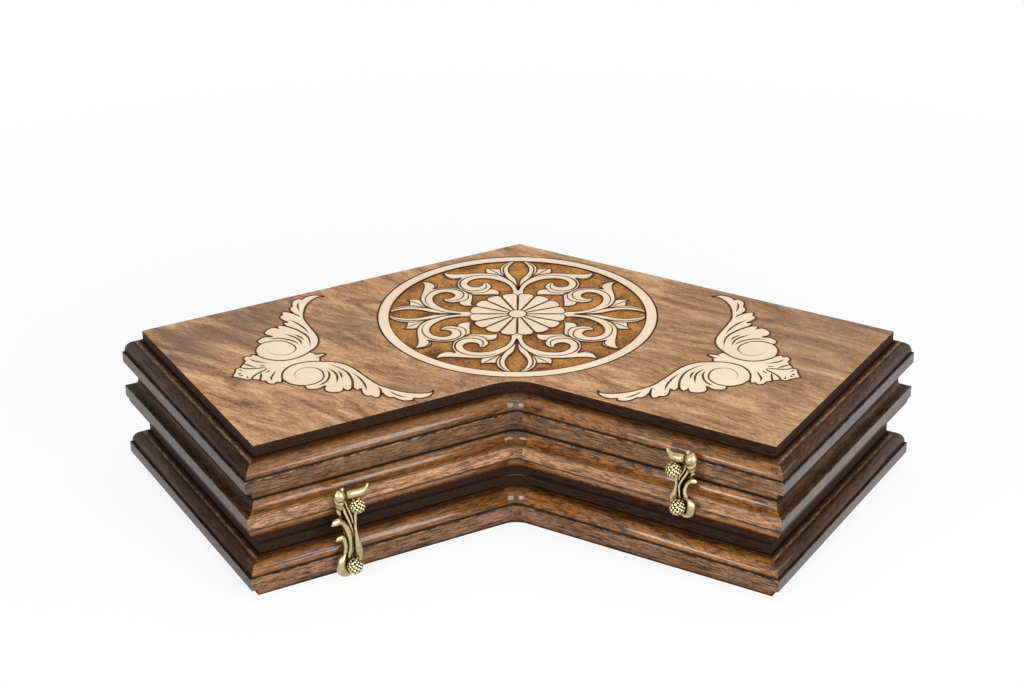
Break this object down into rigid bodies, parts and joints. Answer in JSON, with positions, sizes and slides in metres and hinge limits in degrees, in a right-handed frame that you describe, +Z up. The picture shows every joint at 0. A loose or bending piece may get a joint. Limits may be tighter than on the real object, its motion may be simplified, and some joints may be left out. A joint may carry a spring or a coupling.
{
  "type": "three-player backgammon set",
  "caption": "Folding backgammon case of stacked chevron trays with moulded frames, hook latches and a carved top, which opens into a three-armed board.",
  "frame": {"origin": "under the middle of the closed case's box, on the surface it stands on", "axes": "+Z up, +X to the right arm, the notch towards -Y and the apex towards +Y"},
  "size_m": [0.6408, 0.4016, 0.1236],
  "materials": {
    "rail_wood": "oiled and polished",
    "panel_wood": "stained, satin lacquer",
    "field_wood": "satin lacquer",
    "light_inlay": "satin lacquer",
    "dark_inlay": "satin lacquer",
    "pale_carving": "carved, pale, satin",
    "pin_steel": "brushed",
    "hinge_brass": "brushed",
    "antique_brass": "cast, dark in the hollows",
    "light_checker": "turned and waxed",
    "dark_checker": "turned and waxed",
    "red_checker": "turned and waxed",
    "die_ivory": "polished"
  },
  "bodies": {
    "middle_tray": {"middle_outer_left_rail": "rail_wood", "middle_outer_right_rail": "rail_wood", "middle_left_end_rail": "rail_wood", "middle_right_end_rail": "rail_wood", "middle_inner_left_rail": "rail_wood", "middle_inner_right_rail": "rail_wood", "middle_notch_block": "rail_wood", "middle_panel": "panel_wood", "middle_field": "field_wood", "middle_light_points": "light_inlay", "middle_dark_points": "dark_inlay", "right_hinge_middle_leaves": "hinge_brass", "right_hinge_pins": "pin_steel", "left_hinge_middle_leaves": "hinge_brass", "left_hinge_pins": "pin_steel", "middle_hinge_screws": "hinge_brass", "left_latch_catch": "antique_brass", "right_latch_pivot": "antique_brass", "light_checkers": "light_checker", "dark_checkers": "dark_checker", "red_checkers": "red_checker", "dice": "die_ivory"},
    "top_tray": {"top_outer_left_rail": "rail_wood", "top_outer_right_rail": "rail_wood", "top_left_end_rail": "rail_wood", "top_right_end_rail": "rail_wood", "top_inner_left_rail": "rail_wood", "top_inner_right_rail": "rail_wood", "top_notch_block": "rail_wood", "top_panel": "panel_wood", "top_field": "field_wood", "top_light_points": "light_inlay", "top_dark_points": "dark_inlay", "medallion_ring": "pale_carving", "medallion_rosette": "pale_carving", "right_hinge_top_leaves": "hinge_brass", "top_hinge_screws": "hinge_brass", "right_latch_catch": "antique_brass"},
    "bottom_tray": {"bottom_outer_left_rail": "rail_wood", "bottom_outer_right_rail": "rail_wood", "bottom_left_end_rail": "rail_wood", "bottom_right_end_rail": "rail_wood", "bottom_inner_left_rail": "rail_wood", "bottom_inner_right_rail": "rail_wood", "bottom_notch_block": "rail_wood", "bottom_panel": "panel_wood", "bottom_field": "field_wood", "bottom_light_points": "light_inlay", "bottom_dark_points": "dark_inlay", "left_hinge_bottom_leaves": "hinge_brass", "bottom_hinge_screws": "hinge_brass", "left_latch_pivot": "antique_brass"},
    "left_latch": {"left_latch_arm": "antique_brass"},
    "right_latch": {"right_latch_arm": "antique_brass"}
  },
  "joints": [
    {"name": "top_tray_hinge", "type": "hinge", "parent": "middle_tray", "child": "top_tray", "pos_m": [0.16046, 0.10869, 0.08245], "axis": [-0.866, 0.5, 0], "range_deg": [0, 180]},
    {"name": "bottom_tray_hinge", "type": "hinge", "parent": "middle_tray", "child": "bottom_tray", "pos_m": [-0.16046, 0.10869, 0.04115], "axis": [0.866, 0.5, 0], "range_deg": [0, 180]},
    {"name": "left_latch_turn", "type": "hinge", "parent": "bottom_tray", "child": "left_latch", "pos_m": [-0.12601, -0.16067, 0.0137], "axis": [0.5, -0.866, 0], "range_deg": [0, 75]},
    {"name": "right_latch_turn", "type": "hinge", "parent": "middle_tray", "child": "right_latch", "pos_m": [0.12601, -0.16067, 0.0656], "axis": [0.5, 0.866, 0], "range_deg": [0, 75]}
  ]
}
